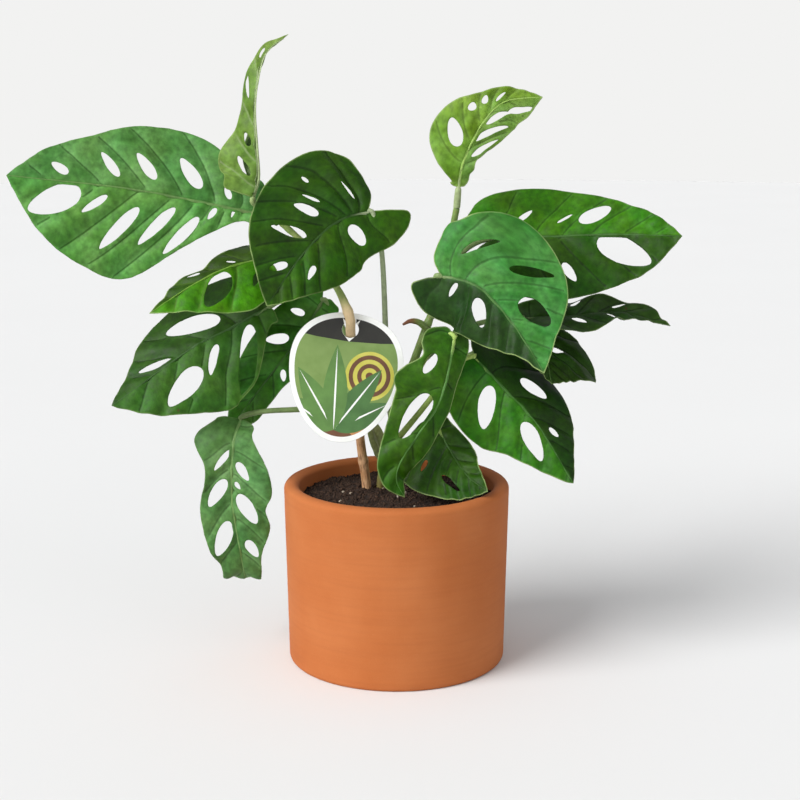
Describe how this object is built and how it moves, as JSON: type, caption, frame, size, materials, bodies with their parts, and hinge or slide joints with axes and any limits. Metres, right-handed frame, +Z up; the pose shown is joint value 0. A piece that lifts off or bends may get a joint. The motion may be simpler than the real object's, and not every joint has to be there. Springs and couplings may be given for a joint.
{
  "type": "potted monstera adansonii plant",
  "caption": "Monstera adansonii house plant with holed leaves on two vine stems and a card name tag, in soil in a plain terracotta cylinder pot.",
  "frame": {"origin": "centre of the pot's flat base, where it stands on its surface", "axes": "+X to the right of the plant seen from its front, +Y away from the viewer, +Z up along the pot's axis"},
  "size_m": [0.4082, 0.1416, 0.3881],
  "materials": {
    "terracotta": "unglazed fired clay, matt",
    "potting_soil": "damp peaty compost with pale perlite",
    "bark": "dry tan bark that turns green above the tag",
    "stem_green": "smooth green stem",
    "leaf_green": "satin leaf, puckered between its veins",
    "leaf_young": "satin young leaf, yellow-green",
    "printed_card": null
  },
  "bodies": {
    "root": {"pot": "terracotta", "soil": "potting_soil", "woody_stem": "bark", "green_stem": "stem_green", "leaf_left_large": "leaf_green", "leaf_left_new": "leaf_young", "leaf_front_left": "leaf_green", "leaf_left_low": "leaf_young", "leaf_left_dark": "leaf_green", "leaf_behind_tag": "leaf_green", "leaf_hanging": "leaf_green", "leaf_right_new": "leaf_young", "leaf_right_large": "leaf_green", "leaf_center_right": "leaf_green", "leaf_lower_right": "leaf_green", "leaf_right_twisted": "leaf_green", "leaf_right_back": "leaf_green", "leaf_center_hanging": "leaf_green", "leaf_sheath": "leaf_young", "leaf_over_rim": "leaf_green", "name_tag": "printed_card"}
  },
  "joints": []
}
